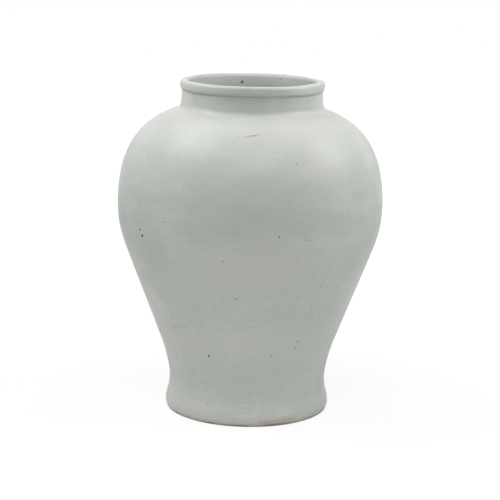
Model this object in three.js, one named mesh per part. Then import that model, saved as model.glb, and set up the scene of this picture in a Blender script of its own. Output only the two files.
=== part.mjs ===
// A large porcelain jar, thrown in sections that are luted together with slip and glazed as one body.
// Millimetres, +Z up. The origin is the centre of the foot, on the surface that the jar stands on.
import * as THREE from "three";

// Heights of the sections, stacked from the tread up
const FOOT_HEIGHT = 48;
const LOWER_HEIGHT = 199.5;
const UPPER_HEIGHT = 212.7;
const NECK_HEIGHT = 25.4;
const LIP_HEIGHT = 15.7;

// Radii of the outside, from the tread up, and of the mouth
const TREAD_RADIUS = 122.3;
const FOOT_RADIUS = 125.1;
const WAIST_RADIUS = 119.3;
const CONE_BASE_RADIUS = 133.5;
const SEAM_RADIUS = 185.9;
const BELLY_RADIUS = 199.5;
const NECK_BASE_RADIUS = 107.2;
const NECK_TOP_RADIUS = 104.8;
const LIP_RADIUS = 108.1;
const MOUTH_RADIUS = 96;

// Turning points inside a section, above that section's lower edge
const FOOT_EDGE_RISE = 8.2;
const CONE_BASE_RISE = 61.6;
const BELLY_RISE = 72.2;
const LIP_ROLL_RISE = 9.3;

// Wall thicknesses, square to the wall
const FOOT_WALL = 13;
const LOWER_WALL = 11;
const UPPER_WALL = 9.5;

// The fall of the shoulder where it meets the neck, and the small roundings
const SHOULDER_FALL_DEGREES = 19.6;
const NECK_FILLET = 6.5;
const THROAT_ROUND = 5;
const LIP_OUTER_ROUND = 3.5;
const LIP_INNER_ROUND = 3;

// The base inside the foot
const TREAD_WIDTH = 18;
const BASE_RECESS = 12;
const BASE_THICKNESS = 14;
const LEDGE_WIDTH = 10;

// The luted seams: a ridge on the lower edge, a groove in the upper one and a film of slip between
const RIDGE_HEIGHT = 4;
const SLIP_FILM = 0.3;

// The coils of clay pressed into the seams from inside
const FLOOR_COIL_SIZE = 14;
const SEAM_COIL_WIDTH = 18;
const SEAM_COIL_DEPTH = 4.5;

// How far each sweep of the outline holds its direction at its ends, as shares of its span
const FOOT_EDGE_HOLD = 0.22;
const FLARE_HOLD = [0.34, 0.56];
const WAIST_HOLD = [0.15, 0.4];
const BELLY_HOLD = [0.32, 0.44];
const SHOULDER_HOLD = [0.71, 0.43];
const LIP_ROLL_HOLD = 0.35;
const FLOOR_COIL_HOLLOW = 0.4;

// Facets: sides of the turned forms, and the longest and fewest steps along a curve of the outline
const TURN_SIDES = 64;
const STEP_LENGTH = 16;
const LEAST_STEPS = 4;

const WAIST_Z = FOOT_HEIGHT;
const SEAM_Z = WAIST_Z + LOWER_HEIGHT;
const NECK_BASE_Z = SEAM_Z + UPPER_HEIGHT;
const NECK_TOP_Z = NECK_BASE_Z + NECK_HEIGHT;
const RIM_Z = NECK_TOP_Z + LIP_HEIGHT;

const point = (radius, height) => new THREE.Vector2(radius, height);
const moved = (start, way, distance) => start.clone().addScaledVector(way, distance);
const UP = point(0, 1);

// A cubic sweep that leaves and arrives square to its chord bows out by this share of its hold
const BOW_PER_HOLD = 3 / 4;

// The straight cone of the lower body, and the way it climbs
const coneBase = point(CONE_BASE_RADIUS, WAIST_Z + CONE_BASE_RISE);
const coneTop = point(SEAM_RADIUS, SEAM_Z);
const coneClimb = coneTop.clone().sub(coneBase).normalize();

// The neck leans in a little from its base to the lip
const neckBase = point(NECK_BASE_RADIUS, NECK_BASE_Z);
const neckTop = point(NECK_TOP_RADIUS, NECK_TOP_Z);
const neckClimb = neckTop.clone().sub(neckBase).normalize();

// The shoulder's own way out and down from the neck, and the way through its wall to the inside
const shoulderFall = THREE.MathUtils.degToRad(SHOULDER_FALL_DEGREES);
const shoulderWay = point(Math.cos(shoulderFall), -Math.sin(shoulderFall));
const shoulderInward = point(-Math.sin(shoulderFall), -Math.cos(shoulderFall));

function inwardFrom(climb) {
  return point(-climb.y, climb.x);
}

// A luted seam between two sections, given by its ends on the outside and the inside of the wall
function seamBetween(outside, inside, climb) {
  const ridge = moved(outside.clone().lerp(inside, 0.5), climb, RIDGE_HEIGHT);
  return { outside, ridge, inside, climb };
}

// The same seam one film of slip further up, as the upper section's edge
function aboveSlip(seam) {
  const lifted = (p) => moved(p, seam.climb, SLIP_FILM);
  return { outside: lifted(seam.outside), ridge: lifted(seam.ridge), inside: lifted(seam.inside) };
}

const waistSeam = seamBetween(point(WAIST_RADIUS, WAIST_Z), point(WAIST_RADIUS - FOOT_WALL, WAIST_Z), UP);
const bellySeam = seamBetween(coneTop, moved(coneTop, inwardFrom(coneClimb), LOWER_WALL), coneClimb);
const neckFoot = moved(neckBase, neckClimb, NECK_FILLET);
const neckSeam = seamBetween(neckFoot, point(MOUTH_RADIUS, neckFoot.y), UP);
const lipSeam = seamBetween(neckTop, point(MOUTH_RADIUS, NECK_TOP_Z), UP);

function pathFrom(start) {
  return new THREE.Path().moveTo(start.x, start.y);
}

// A cubic sweep to a point, leaving and arriving along the two given vectors
function sweepTo(path, end, leaving, arriving) {
  const first = path.currentPoint.clone().add(leaving);
  const second = end.clone().sub(arriving);
  return path.bezierCurveTo(first.x, first.y, second.x, second.y, end.x, end.y);
}

// A corner rounded off by one curve, from where the path is to the given end
function roundTo(path, corner, end) {
  return path.quadraticCurveTo(corner.x, corner.y, end.x, end.y);
}

// Up from the narrow waist, outwards into the straight cone
function sweepWaist(path, coneStart) {
  const rise = coneStart.y - path.currentPoint.y;
  const leaving = UP.clone().multiplyScalar(WAIST_HOLD[0] * rise);
  const arriving = coneClimb.clone().multiplyScalar((WAIST_HOLD[1] * rise) / coneClimb.y);
  return sweepTo(path, coneStart, leaving, arriving);
}

// On from the cone's slope, upright at the widest point of the belly
function sweepBelly(path, belly) {
  const rise = belly.y - path.currentPoint.y;
  const leaving = coneClimb.clone().multiplyScalar((BELLY_HOLD[0] * rise) / coneClimb.y);
  const arriving = UP.clone().multiplyScalar(BELLY_HOLD[1] * rise);
  return sweepTo(path, belly, leaving, arriving);
}

// Over the shoulder to a corner at the neck, which is rounded, and a leg's length up the neck
function sweepShoulder(path, corner, leg, upNeck) {
  const belly = path.currentPoint.clone();
  const leaving = UP.clone().multiplyScalar(SHOULDER_HOLD[0] * (corner.y - belly.y));
  const hold = (SHOULDER_HOLD[1] * (belly.x - corner.x)) / shoulderWay.x;
  const arriving = shoulderWay.clone().multiplyScalar(leg - hold);
  sweepTo(path, moved(corner, shoulderWay, leg), leaving, arriving);
  return roundTo(path, corner, moved(corner, upNeck, leg));
}

// The points of an outline: straight stretches keep their ends, curves are cut into even steps
function trace(path) {
  const points = [path.curves[0].getPoint(0)];
  for (const curve of path.curves) {
    const curved = Math.max(LEAST_STEPS, Math.round(curve.getLength() / STEP_LENGTH));
    const steps = curve.isLineCurve ? 1 : curved;
    for (let step = 1; step <= steps; step += 1) points.push(curve.getPoint(step / steps));
  }
  return points;
}

// A closed outline, counter-clockwise seen with the radius to the right, turned about the upright axis
function turned(points) {
  const closed = [...points, points[0].clone()];
  return new THREE.LatheGeometry(closed, TURN_SIDES).rotateX(Math.PI / 2);
}

// A wall between two paths that both run from the lower seam up to the upper one
function turnedWall(outerPath, innerPath, lowerEdge, upperEdge) {
  const outer = trace(outerPath);
  const inner = trace(innerPath).reverse();
  return turned([...outer, upperEdge.ridge, ...inner, lowerEdge.ridge]);
}

function celadonGlaze() {
  return new THREE.MeshStandardMaterial({ color: 0xc9d0c8, roughness: 0.38, metalness: 0 });
}

function bareClay() {
  return new THREE.MeshStandardMaterial({ color: 0xb7a48c, roughness: 0.9, metalness: 0 });
}

// The flared foot, with the flat tread below and a ledge inside that carries the base
function footRing() {
  const outline = pathFrom(point(TREAD_RADIUS - TREAD_WIDTH, 0)).lineTo(TREAD_RADIUS, 0);
  const edge = point(FOOT_RADIUS, FOOT_EDGE_RISE);
  const edgeOut = point(FOOT_EDGE_HOLD * (FOOT_RADIUS - TREAD_RADIUS), 0);
  sweepTo(outline, edge, edgeOut, UP.clone().multiplyScalar(FOOT_EDGE_HOLD * FOOT_EDGE_RISE));
  const rise = WAIST_Z - FOOT_EDGE_RISE;
  const [leaving, arriving] = FLARE_HOLD.map((hold) => UP.clone().multiplyScalar(hold * rise));
  sweepTo(outline, waistSeam.outside, leaving, arriving);
  outline.lineTo(waistSeam.ridge.x, waistSeam.ridge.y);
  outline.lineTo(waistSeam.inside.x, waistSeam.inside.y);
  outline.lineTo(waistSeam.inside.x, BASE_RECESS);
  outline.lineTo(waistSeam.inside.x - LEDGE_WIDTH, BASE_RECESS);
  return turned(trace(outline));
}

// The round floor, dropped into the foot from above on to its ledge
function baseSlab() {
  const underside = BASE_RECESS + SLIP_FILM;
  const floor = underside + BASE_THICKNESS;
  const edge = waistSeam.inside.x - SLIP_FILM;
  const half = [point(0, underside), point(edge, underside), point(edge, floor), point(0, floor)];
  return new THREE.LatheGeometry(half, TURN_SIDES).rotateX(Math.PI / 2);
}

// The coil smoothed into the corner between the floor and the foot's inner wall
function floorCoil() {
  const corner = point(waistSeam.inside.x - SLIP_FILM, BASE_RECESS + BASE_THICKNESS + 2 * SLIP_FILM);
  const toe = point(corner.x - FLOOR_COIL_SIZE, corner.y);
  const top = moved(corner, UP, FLOOR_COIL_SIZE);
  const hollow = toe.clone().lerp(top, 0.5).lerp(corner, FLOOR_COIL_HOLLOW);
  const outline = pathFrom(toe).lineTo(corner.x, corner.y).lineTo(top.x, top.y);
  outline.quadraticCurveTo(hollow.x, hollow.y, toe.x, toe.y);
  return turned(trace(outline).slice(0, -1));
}

// From the narrow waist along the straight cone to the belly seam
function lowerBody() {
  const lowerEdge = aboveSlip(waistSeam);
  const outer = sweepWaist(pathFrom(lowerEdge.outside), coneBase);
  outer.lineTo(bellySeam.outside.x, bellySeam.outside.y);
  const inner = sweepWaist(pathFrom(lowerEdge.inside), moved(coneBase, inwardFrom(coneClimb), LOWER_WALL));
  inner.lineTo(bellySeam.inside.x, bellySeam.inside.y);
  return turnedWall(outer, inner, lowerEdge, bellySeam);
}

// The round belly and shoulder, turned up into a short rim that takes the neck
function upperBody() {
  const lowerEdge = aboveSlip(bellySeam);
  const bellyZ = SEAM_Z + BELLY_RISE;
  const outer = sweepBelly(pathFrom(lowerEdge.outside), point(BELLY_RADIUS, bellyZ));
  sweepShoulder(outer, neckBase, NECK_FILLET, neckClimb);

  // Inside, a straight land above the seam seats the coil, and the shoulder ends in a rounded throat
  const land = moved(lowerEdge.inside, coneClimb, SEAM_COIL_WIDTH / 2);
  const inner = pathFrom(lowerEdge.inside).lineTo(land.x, land.y);
  sweepBelly(inner, point(BELLY_RADIUS - UPPER_WALL, bellyZ));
  const underNeck = moved(neckBase, shoulderInward, UPPER_WALL);
  const toBore = (underNeck.x - MOUTH_RADIUS) / shoulderWay.x;
  sweepShoulder(inner, moved(underNeck, shoulderWay, -toBore), THROAT_ROUND, UP);
  inner.lineTo(neckSeam.inside.x, neckSeam.inside.y);
  return turnedWall(outer, inner, lowerEdge, neckSeam);
}

// The coil pressed over the belly seam from inside, flat on the wall and round towards the hollow
function seamCoil() {
  const seat = moved(bellySeam.inside, inwardFrom(coneClimb), SLIP_FILM);
  const low = moved(seat, coneClimb, -SEAM_COIL_WIDTH / 2);
  const high = moved(seat, coneClimb, SEAM_COIL_WIDTH / 2);
  const crown = inwardFrom(coneClimb).multiplyScalar(SEAM_COIL_DEPTH / BOW_PER_HOLD);
  const outline = pathFrom(low).lineTo(high.x, high.y);
  sweepTo(outline, low, crown, crown.clone().negate());
  return turned(trace(outline).slice(0, -1));
}

// The short neck, a collar thrown by itself
function neckCollar() {
  const lowerEdge = aboveSlip(neckSeam);
  const outer = pathFrom(lowerEdge.outside).lineTo(lipSeam.outside.x, lipSeam.outside.y);
  const inner = pathFrom(lowerEdge.inside).lineTo(lipSeam.inside.x, lipSeam.inside.y);
  return turnedWall(outer, inner, lowerEdge, lipSeam);
}

// The rolled lip: undercut where it leaves the neck, and rounded over to the mouth
function rolledLip() {
  const lowerEdge = aboveSlip(lipSeam);
  const roll = point(LIP_RADIUS, NECK_TOP_Z + LIP_ROLL_RISE);
  const underRoll = moved(roll, UP, -(1 - LIP_ROLL_HOLD) * LIP_ROLL_RISE);
  const outline = roundTo(pathFrom(lowerEdge.outside), underRoll, roll);
  outline.lineTo(LIP_RADIUS, RIM_Z - LIP_OUTER_ROUND);
  roundTo(outline, point(LIP_RADIUS, RIM_Z), point(LIP_RADIUS - LIP_OUTER_ROUND, RIM_Z));
  outline.lineTo(MOUTH_RADIUS + LIP_INNER_ROUND, RIM_Z);
  roundTo(outline, point(MOUTH_RADIUS, RIM_Z), point(MOUTH_RADIUS, RIM_Z - LIP_INNER_ROUND));
  outline.lineTo(lowerEdge.inside.x, lowerEdge.inside.y);
  return turned([...trace(outline), lowerEdge.ridge]);
}

function piece(name, geometry, material) {
  const mesh = new THREE.Mesh(geometry, material);
  mesh.name = name;
  return mesh;
}

const jar = new THREE.Group();
jar.add(piece("base_slab", baseSlab(), bareClay()));
jar.add(piece("foot_ring", footRing(), celadonGlaze()));
jar.add(piece("floor_coil", floorCoil(), celadonGlaze()));
jar.add(piece("lower_body", lowerBody(), celadonGlaze()));
jar.add(piece("seam_coil", seamCoil(), celadonGlaze()));
jar.add(piece("upper_body", upperBody(), celadonGlaze()));
jar.add(piece("neck_collar", neckCollar(), celadonGlaze()));
jar.add(piece("rolled_lip", rolledLip(), celadonGlaze()));

export default jar;
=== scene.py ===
# %% [markdown]
# # A celadon porcelain jar
# The jar was made in sections: a floor, a foot, a straight lower body, a round upper body, a neck and a lip,
# luted together with slip and glazed as one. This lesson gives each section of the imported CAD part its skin:
# throwing rings, a wavering lip, pooled glaze, iron specks and a bare foot.

import bpy
import numpy as np
from mathutils import Matrix, Vector


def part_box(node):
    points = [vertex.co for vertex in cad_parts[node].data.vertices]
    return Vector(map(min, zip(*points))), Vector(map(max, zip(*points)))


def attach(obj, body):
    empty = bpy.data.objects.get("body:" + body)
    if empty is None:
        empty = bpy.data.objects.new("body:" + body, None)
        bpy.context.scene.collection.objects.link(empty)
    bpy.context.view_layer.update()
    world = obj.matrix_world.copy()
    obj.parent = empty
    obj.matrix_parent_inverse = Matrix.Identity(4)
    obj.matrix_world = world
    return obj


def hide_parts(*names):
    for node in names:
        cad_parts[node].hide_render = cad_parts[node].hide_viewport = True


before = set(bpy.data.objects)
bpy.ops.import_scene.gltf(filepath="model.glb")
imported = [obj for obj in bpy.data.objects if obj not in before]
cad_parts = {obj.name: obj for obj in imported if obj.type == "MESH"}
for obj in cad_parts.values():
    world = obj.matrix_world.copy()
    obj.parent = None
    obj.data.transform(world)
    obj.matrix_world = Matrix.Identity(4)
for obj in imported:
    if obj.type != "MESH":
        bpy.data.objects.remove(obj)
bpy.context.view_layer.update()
MM = 0.001
print("sections in the frame:", ", ".join(sorted(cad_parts)))


# %% Add objects to the scene
def new_object(name, data):
    """An object that shows some data, linked to the scene."""
    made = bpy.data.objects.new(name, data)
    bpy.context.scene.collection.objects.link(made)
    return made


# %% [markdown]
# ## The camera
# The camera was worked out from the jar's outline: how far the ellipses of the rim and the foot open tells
# how steeply it looks down. It comes first because marks on the glaze are placed by their pixels.

# %% Set up the camera
PHOTO_SIDE = 500
FOCAL_PIXELS = 1592
CAMERA_DISTANCE = 2.427
CAMERA_ELEVATION = np.radians(11.6)
CAMERA_ROLL = np.radians(1.12)
AIM = np.array((1.1, 0.0, 242.2)) * MM

back_way = np.array((0.0, -np.cos(CAMERA_ELEVATION), np.sin(CAMERA_ELEVATION)))
level_up = np.array((0.0, np.sin(CAMERA_ELEVATION), np.cos(CAMERA_ELEVATION)))
level_right = np.array((1.0, 0.0, 0.0))
right_way = np.cos(CAMERA_ROLL) * level_right + np.sin(CAMERA_ROLL) * level_up
up_way = np.cos(CAMERA_ROLL) * level_up - np.sin(CAMERA_ROLL) * level_right
camera_place = AIM + CAMERA_DISTANCE * back_way

lens = bpy.data.cameras.new("photo_camera")
lens.sensor_fit = "HORIZONTAL"
lens.lens = lens.sensor_width * FOCAL_PIXELS / PHOTO_SIDE
camera = new_object("photo_camera", lens)
camera_turn = Matrix((right_way, up_way, back_way)).transposed()
camera.matrix_world = Matrix.Translation(camera_place) @ camera_turn.to_4x4()
bpy.context.scene.camera = camera
print(f"lens {lens.lens:.1f} mm, {CAMERA_DISTANCE:.2f} m from the jar")

# %% [markdown]
# ## The outline
# A thrown pot is a surface of revolution, so its shape is one line: the outline. Curves with handles give a
# potter's sweep in few numbers: the directions that the clay leaves and arrives in. What the frame can tell
# is read from it, and the other radii and heights are named here.

# %% Read the stations of the outline
foot_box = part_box("foot_ring")
upper_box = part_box("upper_body")
neck_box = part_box("neck_collar")
lip_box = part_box("rolled_lip")
slab_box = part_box("base_slab")

SLIP_FILM = 0.3 * MM
RIDGE_HEIGHT = 4 * MM
TREAD_RADIUS = 122.3 * MM
TREAD_WIDTH = 18 * MM
FOOT_EDGE = np.array((foot_box[1].x, 8.2 * MM))
WAIST = np.array((119.3 * MM, foot_box[1].z - RIDGE_HEIGHT))
CONE_BASE = WAIST + np.array((14.2, 61.6)) * MM
CONE_TOP = np.array((185.9, 247.5)) * MM
BELLY = np.array((upper_box[1].x, CONE_TOP[1] + 72.2 * MM))
NECK_BASE = np.array((107.2, 460.2)) * MM
NECK_TOP = np.array((104.8 * MM, neck_box[1].z - RIDGE_HEIGHT))
LIP_RADIUS = lip_box[1].x
RIM_HEIGHT = lip_box[1].z
MOUTH_RADIUS = 96 * MM
FOOT_WALL = 13 * MM
LOWER_WALL = 11 * MM
UPPER_WALL = 9.5 * MM
LEDGE_WIDTH = 10 * MM
UP = np.array((0.0, 1.0))
OUT = np.array((1.0, 0.0))
print(f"belly {2 * BELLY[0] / MM:.0f} mm across, rim at {RIM_HEIGHT / MM:.0f} mm")

# %% Draw curves with handles
SWEEP_COUNT = 80
ROUND_COUNT = 24


def unit(vector):
    """The vector divided by its own length."""
    return vector / np.linalg.norm(vector)


def sweep(start, end, leaving, arriving):
    """A cubic curve: it leaves start along one handle and arrives at end along the other."""
    share = np.linspace(0, 1, SWEEP_COUNT)[:, None]
    rest = 1 - share
    near, far = start + leaving, end - arriving
    return rest**3 * start + 3 * rest**2 * share * near + 3 * rest * share**2 * far + share**3 * end


def rounded(start, corner, end):
    """The quadratic curve from start to end that the corner pulls on."""
    share = np.linspace(0, 1, ROUND_COUNT)[:, None]
    return (1 - share) ** 2 * start + 2 * (1 - share) * share * corner + share**2 * end


def paced(points, step):
    """The same line in even steps."""
    points = np.asarray(points)
    moved = np.linalg.norm(np.diff(points, axis=0), axis=1)
    along = np.concatenate(([0.0], np.cumsum(moved)))
    places = np.linspace(0, along[-1], max(2, int(round(along[-1] / step)) + 1))
    return np.stack([np.interp(places, along, points[:, axis]) for axis in (0, 1)], 1)


def chained(corners, step):
    """Straight legs from corner to corner, each in even steps, without the last corner."""
    return np.concatenate([paced(leg, step)[:-1] for leg in zip(corners, corners[1:])])


# %% Sweeps that the inside and the outside share
cone_climb = unit(CONE_TOP - CONE_BASE)
cone_inward = np.array((-cone_climb[1], cone_climb[0]))
neck_climb = unit(NECK_TOP - NECK_BASE)
SHOULDER_FALL = np.radians(19.6)
shoulder_way = np.array((np.cos(SHOULDER_FALL), -np.sin(SHOULDER_FALL)))
shoulder_inward = np.array((-np.sin(SHOULDER_FALL), -np.cos(SHOULDER_FALL)))
NECK_FILLET = 6.5 * MM
WAIST_HOLD = (0.15, 0.4)
BELLY_HOLD = (0.32, 0.44)
SHOULDER_HOLD = (0.71, 0.43)


def waist_sweep(start, cone_start):
    """Upright from the waist, leaning out into the straight cone."""
    leave, arrive = np.multiply(WAIST_HOLD, cone_start[1] - start[1])
    return sweep(start, cone_start, leave * UP, arrive * cone_climb / cone_climb[1])


def belly_sweep(start, belly):
    """On along the cone's slope, upright at the widest point."""
    leave, arrive = np.multiply(BELLY_HOLD, belly[1] - start[1])
    return sweep(start, belly, leave * cone_climb / cone_climb[1], arrive * UP)


def shoulder_sweep(belly, corner, leg, up_neck):
    """Upright from the belly, over the shoulder to a rounded corner, and a leg's length up the neck."""
    turn_in = corner + leg * shoulder_way
    leave = SHOULDER_HOLD[0] * (corner[1] - belly[1])
    arrive = SHOULDER_HOLD[1] * (belly[0] - corner[0]) / shoulder_way[0] - leg
    over = sweep(belly, turn_in, leave * UP, -arrive * shoulder_way)
    return np.concatenate((over, rounded(turn_in, corner, corner + leg * up_neck)))


neck_foot = NECK_BASE + NECK_FILLET * neck_climb
cone_top_inside = CONE_TOP + LOWER_WALL * cone_inward
waist_inside = WAIST - FOOT_WALL * OUT
print(f"the cone leans {np.degrees(np.arctan2(*cone_climb)):.1f} degrees out")

# %% [markdown]
# ## Seams between the sections
# The lower edge of a seam has a low ridge and the upper one a groove. The glaze runs over the seam, so the
# edges meet exactly at both faces of the wall, and only the groove keeps its film of slip.


# %% Describe the seams
def seam(outside, inside, climb):
    """A seam's ends on both faces of the wall, its ridge, and the groove a film of slip above it."""
    ridge = (outside + inside) / 2 + RIDGE_HEIGHT * climb
    return {"outside": outside, "inside": inside, "ridge": ridge, "groove": ridge + SLIP_FILM * climb}


waist_seam = seam(WAIST, waist_inside, UP)
belly_seam = seam(CONE_TOP, cone_top_inside, cone_climb)
neck_seam = seam(neck_foot, np.array((MOUTH_RADIUS, neck_foot[1])), UP)
lip_seam = seam(NECK_TOP, np.array((MOUTH_RADIUS, NECK_TOP[1])), UP)
all_seams = (waist_seam, belly_seam, neck_seam, lip_seam)
print("seams at", [f"{s['outside'][1] / MM:.1f}" for s in all_seams], "mm")

# %% [markdown]
# ## What the hands leave
# A thrown wall is never a perfect surface of revolution. Fingers climb it in a spiral and leave rings, the
# clay sags a little out of round, and tools cut lines at the neck and the foot. All of these are depths of
# about a millimetre or less along the wall's normal, as a function of the angle, the radius and the height,
# so that two sections agree where they meet.

# %% Helpers for shallow marks
rng = np.random.default_rng(7)
FRONT = -np.pi / 2
PHASES = rng.uniform(0, 2 * np.pi, 16)


def window(value, low, high, soft):
    """1 between low and high, falling smoothly to 0 over the distance soft on both sides."""
    up = np.clip((value - low) / soft + 0.5, 0, 1)
    down = np.clip((high - value) / soft + 0.5, 0, 1)
    return (up * up * (3 - 2 * up)) * (down * down * (3 - 2 * down))


def bell(value, centre, width):
    """A bell curve round a centre."""
    return np.exp(-(((value - centre) / width) ** 2))


def degrees_off(angle, degrees):
    """How far an angle lies to the right of another one, which is counted from the front."""
    return np.degrees(np.angle(np.exp(1j * (angle - FRONT - np.radians(degrees)))))


def facing(angle, degrees, spread):
    """1 at an angle counted from the front to the right, falling to 0 about spread degrees away."""
    return bell(degrees_off(angle, degrees), 0, spread)


def swell(height, number):
    """A slow wave along the height, between 0 and 1, that makes some rings deeper than others."""
    slow = np.sin(height / (31 * MM) + PHASES[number])
    quick = np.sin(height / (13 * MM) + PHASES[number + 1])
    return 0.5 + 0.25 * (slow + quick)


def spiral(angle, height, pitch):
    """The sine of the turns that a spiral of this pitch has made at an angle and a height."""
    return np.sin(2 * np.pi * height / pitch + angle)


# %% Marks of throwing on the walls
RING_PITCH = 7.5 * MM
FINE_PITCH = 0.41 * RING_PITCH
RING_DRIFT = 5 * MM
RING_DEPTH = 0.045 * MM
THROWN_BAND = (230 * MM, 460 * MM, 60 * MM)
SHOULDER_RINGS = (402 * MM, 14 * MM)
SAG_DEPTH = 0.35 * MM
OVAL_TURN = -1.8


def thrown_rings(angle, height):
    """A spiral of rings whose pitch drifts and a finer one that crosses it, strongest on the shoulder."""
    drifting = height + RING_DRIFT * np.sin(height / (23 * MM) + 2 * angle + PHASES[10])
    rings = spiral(angle, drifting, RING_PITCH) * swell(height, 0)
    fine_rings = spiral(-2 * angle, drifting, FINE_PITCH) * swell(height, 2)
    strength = 0.3 + 0.5 * window(height, *THROWN_BAND) + 0.8 * bell(height, *SHOULDER_RINGS)
    return RING_DEPTH * strength * (rings + 0.4 * fine_rings)


def sagged(angle, height):
    """Two slow waves round the wall that drift with the height, and one along it."""
    oval = np.cos(2 * angle + OVAL_TURN + 6 * height)
    three = np.cos(3 * angle + PHASES[5] - 9 * height)
    along = np.cos(height / (17 * MM) + 2 * angle + PHASES[6])
    return SAG_DEPTH * (oval + 0.5 * three + 0.12 * along)


# %% Marks on the neck and the lip
# Each groove: radius in mm, angle, spread, slant in mm to the degree, strength
NECK_LINES = (
    (127.0, -32, 15, 0.45, 1.0), (114.5, -34, 13, 0.25, 0.8), (119.5, 10, 9, 0.0, 0.4),
    (118.0, 160, 35, 0.1, 0.8), (124.0, -130, 30, 0.15, 0.8),
)
NECK_LINE_DEPTH = 1.1 * MM
NECK_LINE_WIDTH = 2.1 * MM
NECK_LINE_BAND = (440 * MM, 475 * MM, 10 * MM)
NECK_FILLS = ((-48, 18, 1.1), (38, 12, 0.7), (2, 20, -1.0))
NECK_FILL_DEPTH = 0.9 * MM
NECK_FILL_WIDTH = 4.5 * MM
RIM_WAVES = ((30, 18, -1.0), (-30, 18, -0.5), (150, 24, 1.2), (-136, 16, 0.6), (-90, 14, -0.5))
RIM_WAVE_DEPTH = 4 * MM


def facing_sum(angle, places):
    """The sum of several places round the jar, each of an angle, a spread and a strength."""
    return sum(strength * facing(angle, degrees, spread) for degrees, spread, strength in places)


def neck_lines(angle, radius, height):
    """Slanting grooves that the tool left round the neck, each with a low ridge inside it."""
    depth = 0
    for line_radius, degrees, spread, slant, strength in NECK_LINES:
        middle = (line_radius + slant * degrees_off(angle, degrees)) * MM
        groove = bell(radius, middle, NECK_LINE_WIDTH)
        ridge = bell(radius, middle - 2 * NECK_LINE_WIDTH, 1.2 * NECK_LINE_WIDTH)
        depth = depth + strength * facing(angle, degrees, spread) * (0.7 * ridge - groove)
    return NECK_LINE_DEPTH * depth * window(height, *NECK_LINE_BAND)


def neck_fill(angle, radius, height):
    """Slip in the corner of the shoulder and the neck: thick at both sides, scraped out at the front."""
    off_corner = np.hypot(radius - NECK_BASE[0], height - NECK_BASE[1])
    return NECK_FILL_DEPTH * facing_sum(angle, NECK_FILLS) * bell(off_corner, 0, NECK_FILL_WIDTH)


def rim_waves(angle, height):
    """Slow rises and dips of the rim, all in the top few millimetres of the lip."""
    top = window(height, RIM_HEIGHT - RIM_WAVE_DEPTH / 2, 1, RIM_WAVE_DEPTH)
    return MM * facing_sum(angle, RIM_WAVES) * top


# %% Marks on the foot
# Each line, and the print of a thumb: height in mm, angle, spread
FOOT_LINES = ((44.5, 12, 9), (36.0, -4, 11), (30.5, -41, 9))
FOOT_LINE_DEPTH = 0.35 * MM
FOOT_LINE_WIDTH = 0.8 * MM
FOOT_DENT = (27.0, 1, 7)
FOOT_DENT_DEPTH = 0.6 * MM
FOOT_DENT_HEIGHT = 3.2 * MM
WORN_DEPTH = 0.2 * MM
WORN_BAND = (4 * MM, 3 * MM)


def foot_lines(angle, height):
    """Grooves of the turning tool, each deepest at one side and faint elsewhere."""
    depth = 0
    for line_height, degrees, spread in FOOT_LINES:
        strength = 0.15 + 0.85 * facing(angle, degrees, spread) + 0.5 * facing(angle, degrees + 150, 40)
        depth = depth + strength * bell(height, line_height * MM, FOOT_LINE_WIDTH)
    return -FOOT_LINE_DEPTH * depth


def foot_dent(angle, height):
    """The flat print of a thumb on the front of the foot."""
    dent_height, degrees, spread = FOOT_DENT
    print_shape = facing(angle, degrees, spread) * bell(height, dent_height * MM, FOOT_DENT_HEIGHT)
    return -FOOT_DENT_DEPTH * print_shape


def worn_edge(angle, height):
    """Small dents along the lower edge of the foot."""
    dents = np.cos(17 * angle + PHASES[7]) * np.cos(5 * angle + PHASES[8]) + 0.6 * np.cos(31 * angle)
    return WORN_DEPTH * bell(height, *WORN_BAND) * dents


# %% All marks on the outside
CLEAR_TREAD = 4 * MM


def outside_marks(angle, radius, height):
    """All the outside's marks as one depth, and none on the flat tread."""
    depth = thrown_rings(angle, height) + sagged(angle, height) + neck_lines(angle, radius, height)
    depth = depth + neck_fill(angle, radius, height) + foot_lines(angle, height)
    depth = depth + foot_dent(angle, height) + worn_edge(angle, height) + rim_waves(angle, height)
    return depth * np.clip(height / CLEAR_TREAD, 0, 1)


# %% Marks on the inside
INSIDE_RING_PITCH = 14 * MM
INSIDE_RING_DEPTH = 0.35 * MM
LIP_INNER_ROUND = 4.5 * MM


def inside_marks(angle, radius, height):
    """Inside, nobody smoothed the clay: wider and deeper rings, and the same sag as the outside."""
    rings = spiral(-angle, height, INSIDE_RING_PITCH) * swell(height, 9)
    below_neck = window(height, -1, neck_foot[1], 20 * MM)
    return INSIDE_RING_DEPTH * below_neck * rings - sagged(angle, height)


def lip_marks(angle, radius, height):
    """The outside's marks on the lip, changing to the inside's over the inner edge of the rim."""
    outer = window(radius, MOUTH_RADIUS + LIP_INNER_ROUND / 2, 1, LIP_INNER_ROUND)
    return outer * outside_marks(angle, radius, height) + (1 - outer) * inside_marks(angle, radius, height)


print(f"rings every {RING_PITCH / MM:.1f} mm outside and {INSIDE_RING_PITCH / MM:.0f} mm inside")

# %% [markdown]
# ## Turning a section
# Every section is its closed outline carried round the upright axis. A Screw modifier would make every turn
# alike, so the points are computed here: one row for each point of the outline, one column for each angle,
# closed both ways. The outline is a chain of stretches, each with its own marks, so that a wall's skin isn't
# bent by the corner where the seam begins.

# %% Turn stretches of outline into a piece
COLUMNS = 384
ANGLES = np.linspace(0, 2 * np.pi, COLUMNS, endpoint=False)[None, :]
OUTSIDE_STEP = 1.6 * MM
NECK_STEP = 0.9 * MM
INSIDE_STEP = 5 * MM
SHARP_EDGE = np.radians(35)


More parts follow.
